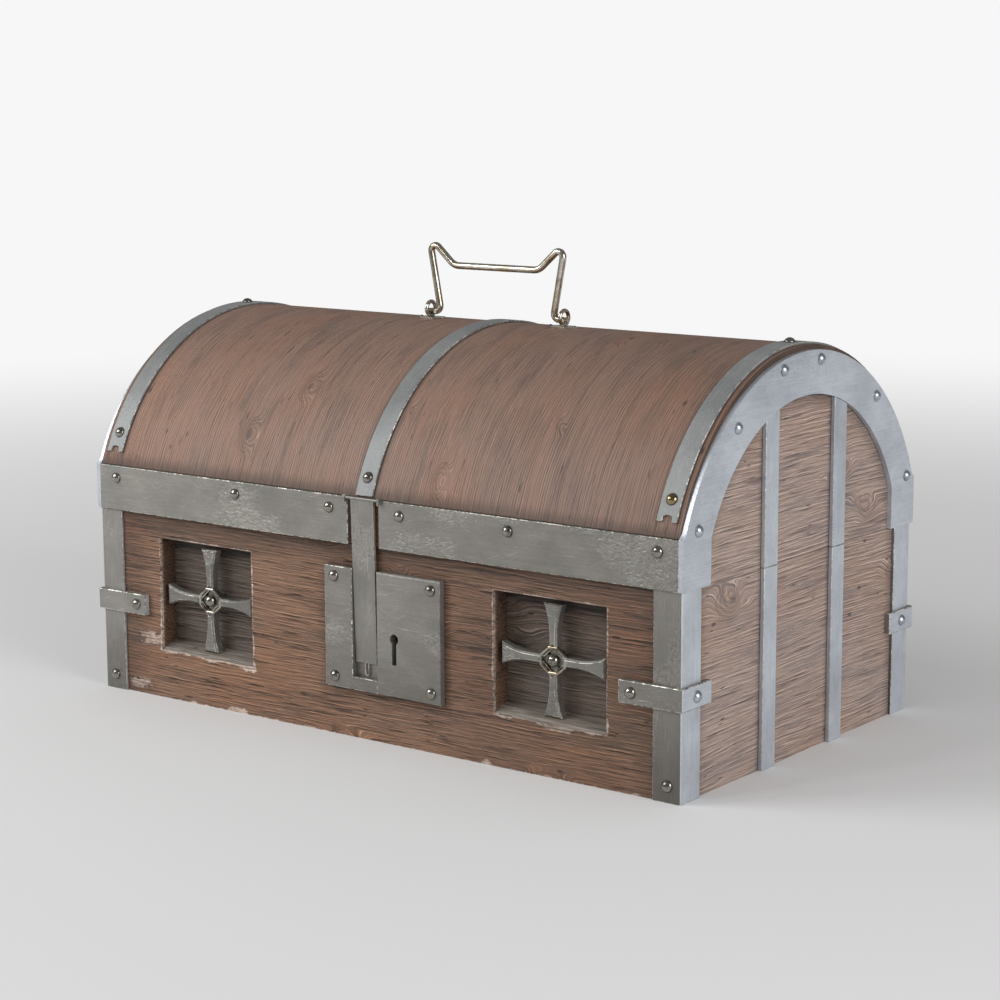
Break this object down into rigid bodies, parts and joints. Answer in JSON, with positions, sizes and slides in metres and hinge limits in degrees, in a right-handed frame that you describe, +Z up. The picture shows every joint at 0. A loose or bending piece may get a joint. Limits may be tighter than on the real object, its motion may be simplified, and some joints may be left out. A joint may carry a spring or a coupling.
{
  "type": "domed iron-bound chest",
  "caption": "Low chest with a half-round lid, iron straps and corner irons, barred square windows in the front, a hasp lock and a wire carrying handle on top.",
  "frame": {"origin": "centre of the underside, on the floor", "axes": "+X to the right along the front, +Y from the front to the back, +Z up"},
  "size_m": [0.5726, 0.344, 0.3624],
  "materials": {
    "dome_wood": "waxed, worn, grain along the curve",
    "front_wood": "ridged open grain, chipped edges",
    "end_wood": "weathered open grain",
    "inside_wood": "plain planed",
    "strap_iron": "worn and pitted",
    "end_iron": "smooth worn",
    "lock_iron": "dark oiled",
    "rivet_steel": "polished dark heads",
    "bright_wire": "bright plated, lightly scratched"
  },
  "bodies": {
    "chest": {"front_board": "front_wood", "back_board": "front_wood", "left_end_board": "end_wood", "left_window_back": "inside_wood", "left_cross": "strap_iron", "left_cross_collar": "bright_wire", "left_body_hinge_leaf": "strap_iron", "right_end_board": "end_wood", "right_window_back": "inside_wood", "right_cross": "strap_iron", "right_cross_collar": "bright_wire", "right_body_hinge_leaf": "strap_iron", "bottom_board": "inside_wood", "front_left_corner_strap": "strap_iron", "front_left_corner_bracket": "strap_iron", "front_left_lower_batten": "end_iron", "front_right_corner_strap": "strap_iron", "front_right_corner_bracket": "strap_iron", "front_right_lower_batten": "end_iron", "back_left_corner_strap": "strap_iron", "back_left_corner_bracket": "strap_iron", "back_left_lower_batten": "end_iron", "back_right_corner_strap": "strap_iron", "back_right_corner_bracket": "strap_iron", "back_right_lower_batten": "end_iron", "cross_rivets": "rivet_steel", "hasp_plate": "strap_iron", "keyhole_plate": "strap_iron", "lock_case": "lock_iron", "lock_spring": "lock_iron", "body_nails": "rivet_steel", "hinge_pins": "rivet_steel"},
    "lid": {"lid_shell": "dome_wood", "left_lid_end": "end_wood", "right_lid_end": "end_wood", "lid_front_rail": "front_wood", "lid_back_rail": "front_wood", "left_front_band": "strap_iron", "right_front_band": "strap_iron", "back_band": "strap_iron", "left_arch_plate": "end_iron", "right_arch_plate": "end_iron", "left_dome_strap": "strap_iron", "centre_dome_strap": "strap_iron", "right_dome_strap": "strap_iron", "front_left_upper_batten": "end_iron", "front_right_upper_batten": "end_iron", "back_left_upper_batten": "end_iron", "back_right_upper_batten": "end_iron", "hasp_keepers": "strap_iron", "handle_eyes": "bright_wire", "handle_eye_plates": "bright_wire", "lid_nails": "rivet_steel", "eye_plate_pins": "rivet_steel", "left_lid_hinge_leaf": "strap_iron", "right_lid_hinge_leaf": "strap_iron"},
    "hasp": {"hasp": "strap_iron", "hasp_pull": "bright_wire"},
    "carrying_handle": {"handle": "bright_wire"},
    "bolt": {"lock_bolt": "lock_iron"}
  },
  "joints": [
    {"name": "lid_hinge", "type": "hinge", "parent": "chest", "child": "lid", "pos_m": [0, 0.1683, 0.14885], "axis": [-1, 0, 0], "range_deg": [0, 100]},
    {"name": "hasp_hinge", "type": "hinge", "parent": "lid", "child": "hasp", "pos_m": [0, -0.165, 0.185], "axis": [-1, 0, 0], "range_deg": [0, 175]},
    {"name": "handle_swing", "type": "hinge", "parent": "lid", "child": "carrying_handle", "pos_m": [0, 0, 0.30765], "axis": [1, 0, 0], "range_deg": [-96, 96]},
    {"name": "bolt_slide", "type": "slide", "parent": "chest", "child": "bolt", "axis": [-1, 0, 0], "range_m": [0, 0.01]}
  ]
}
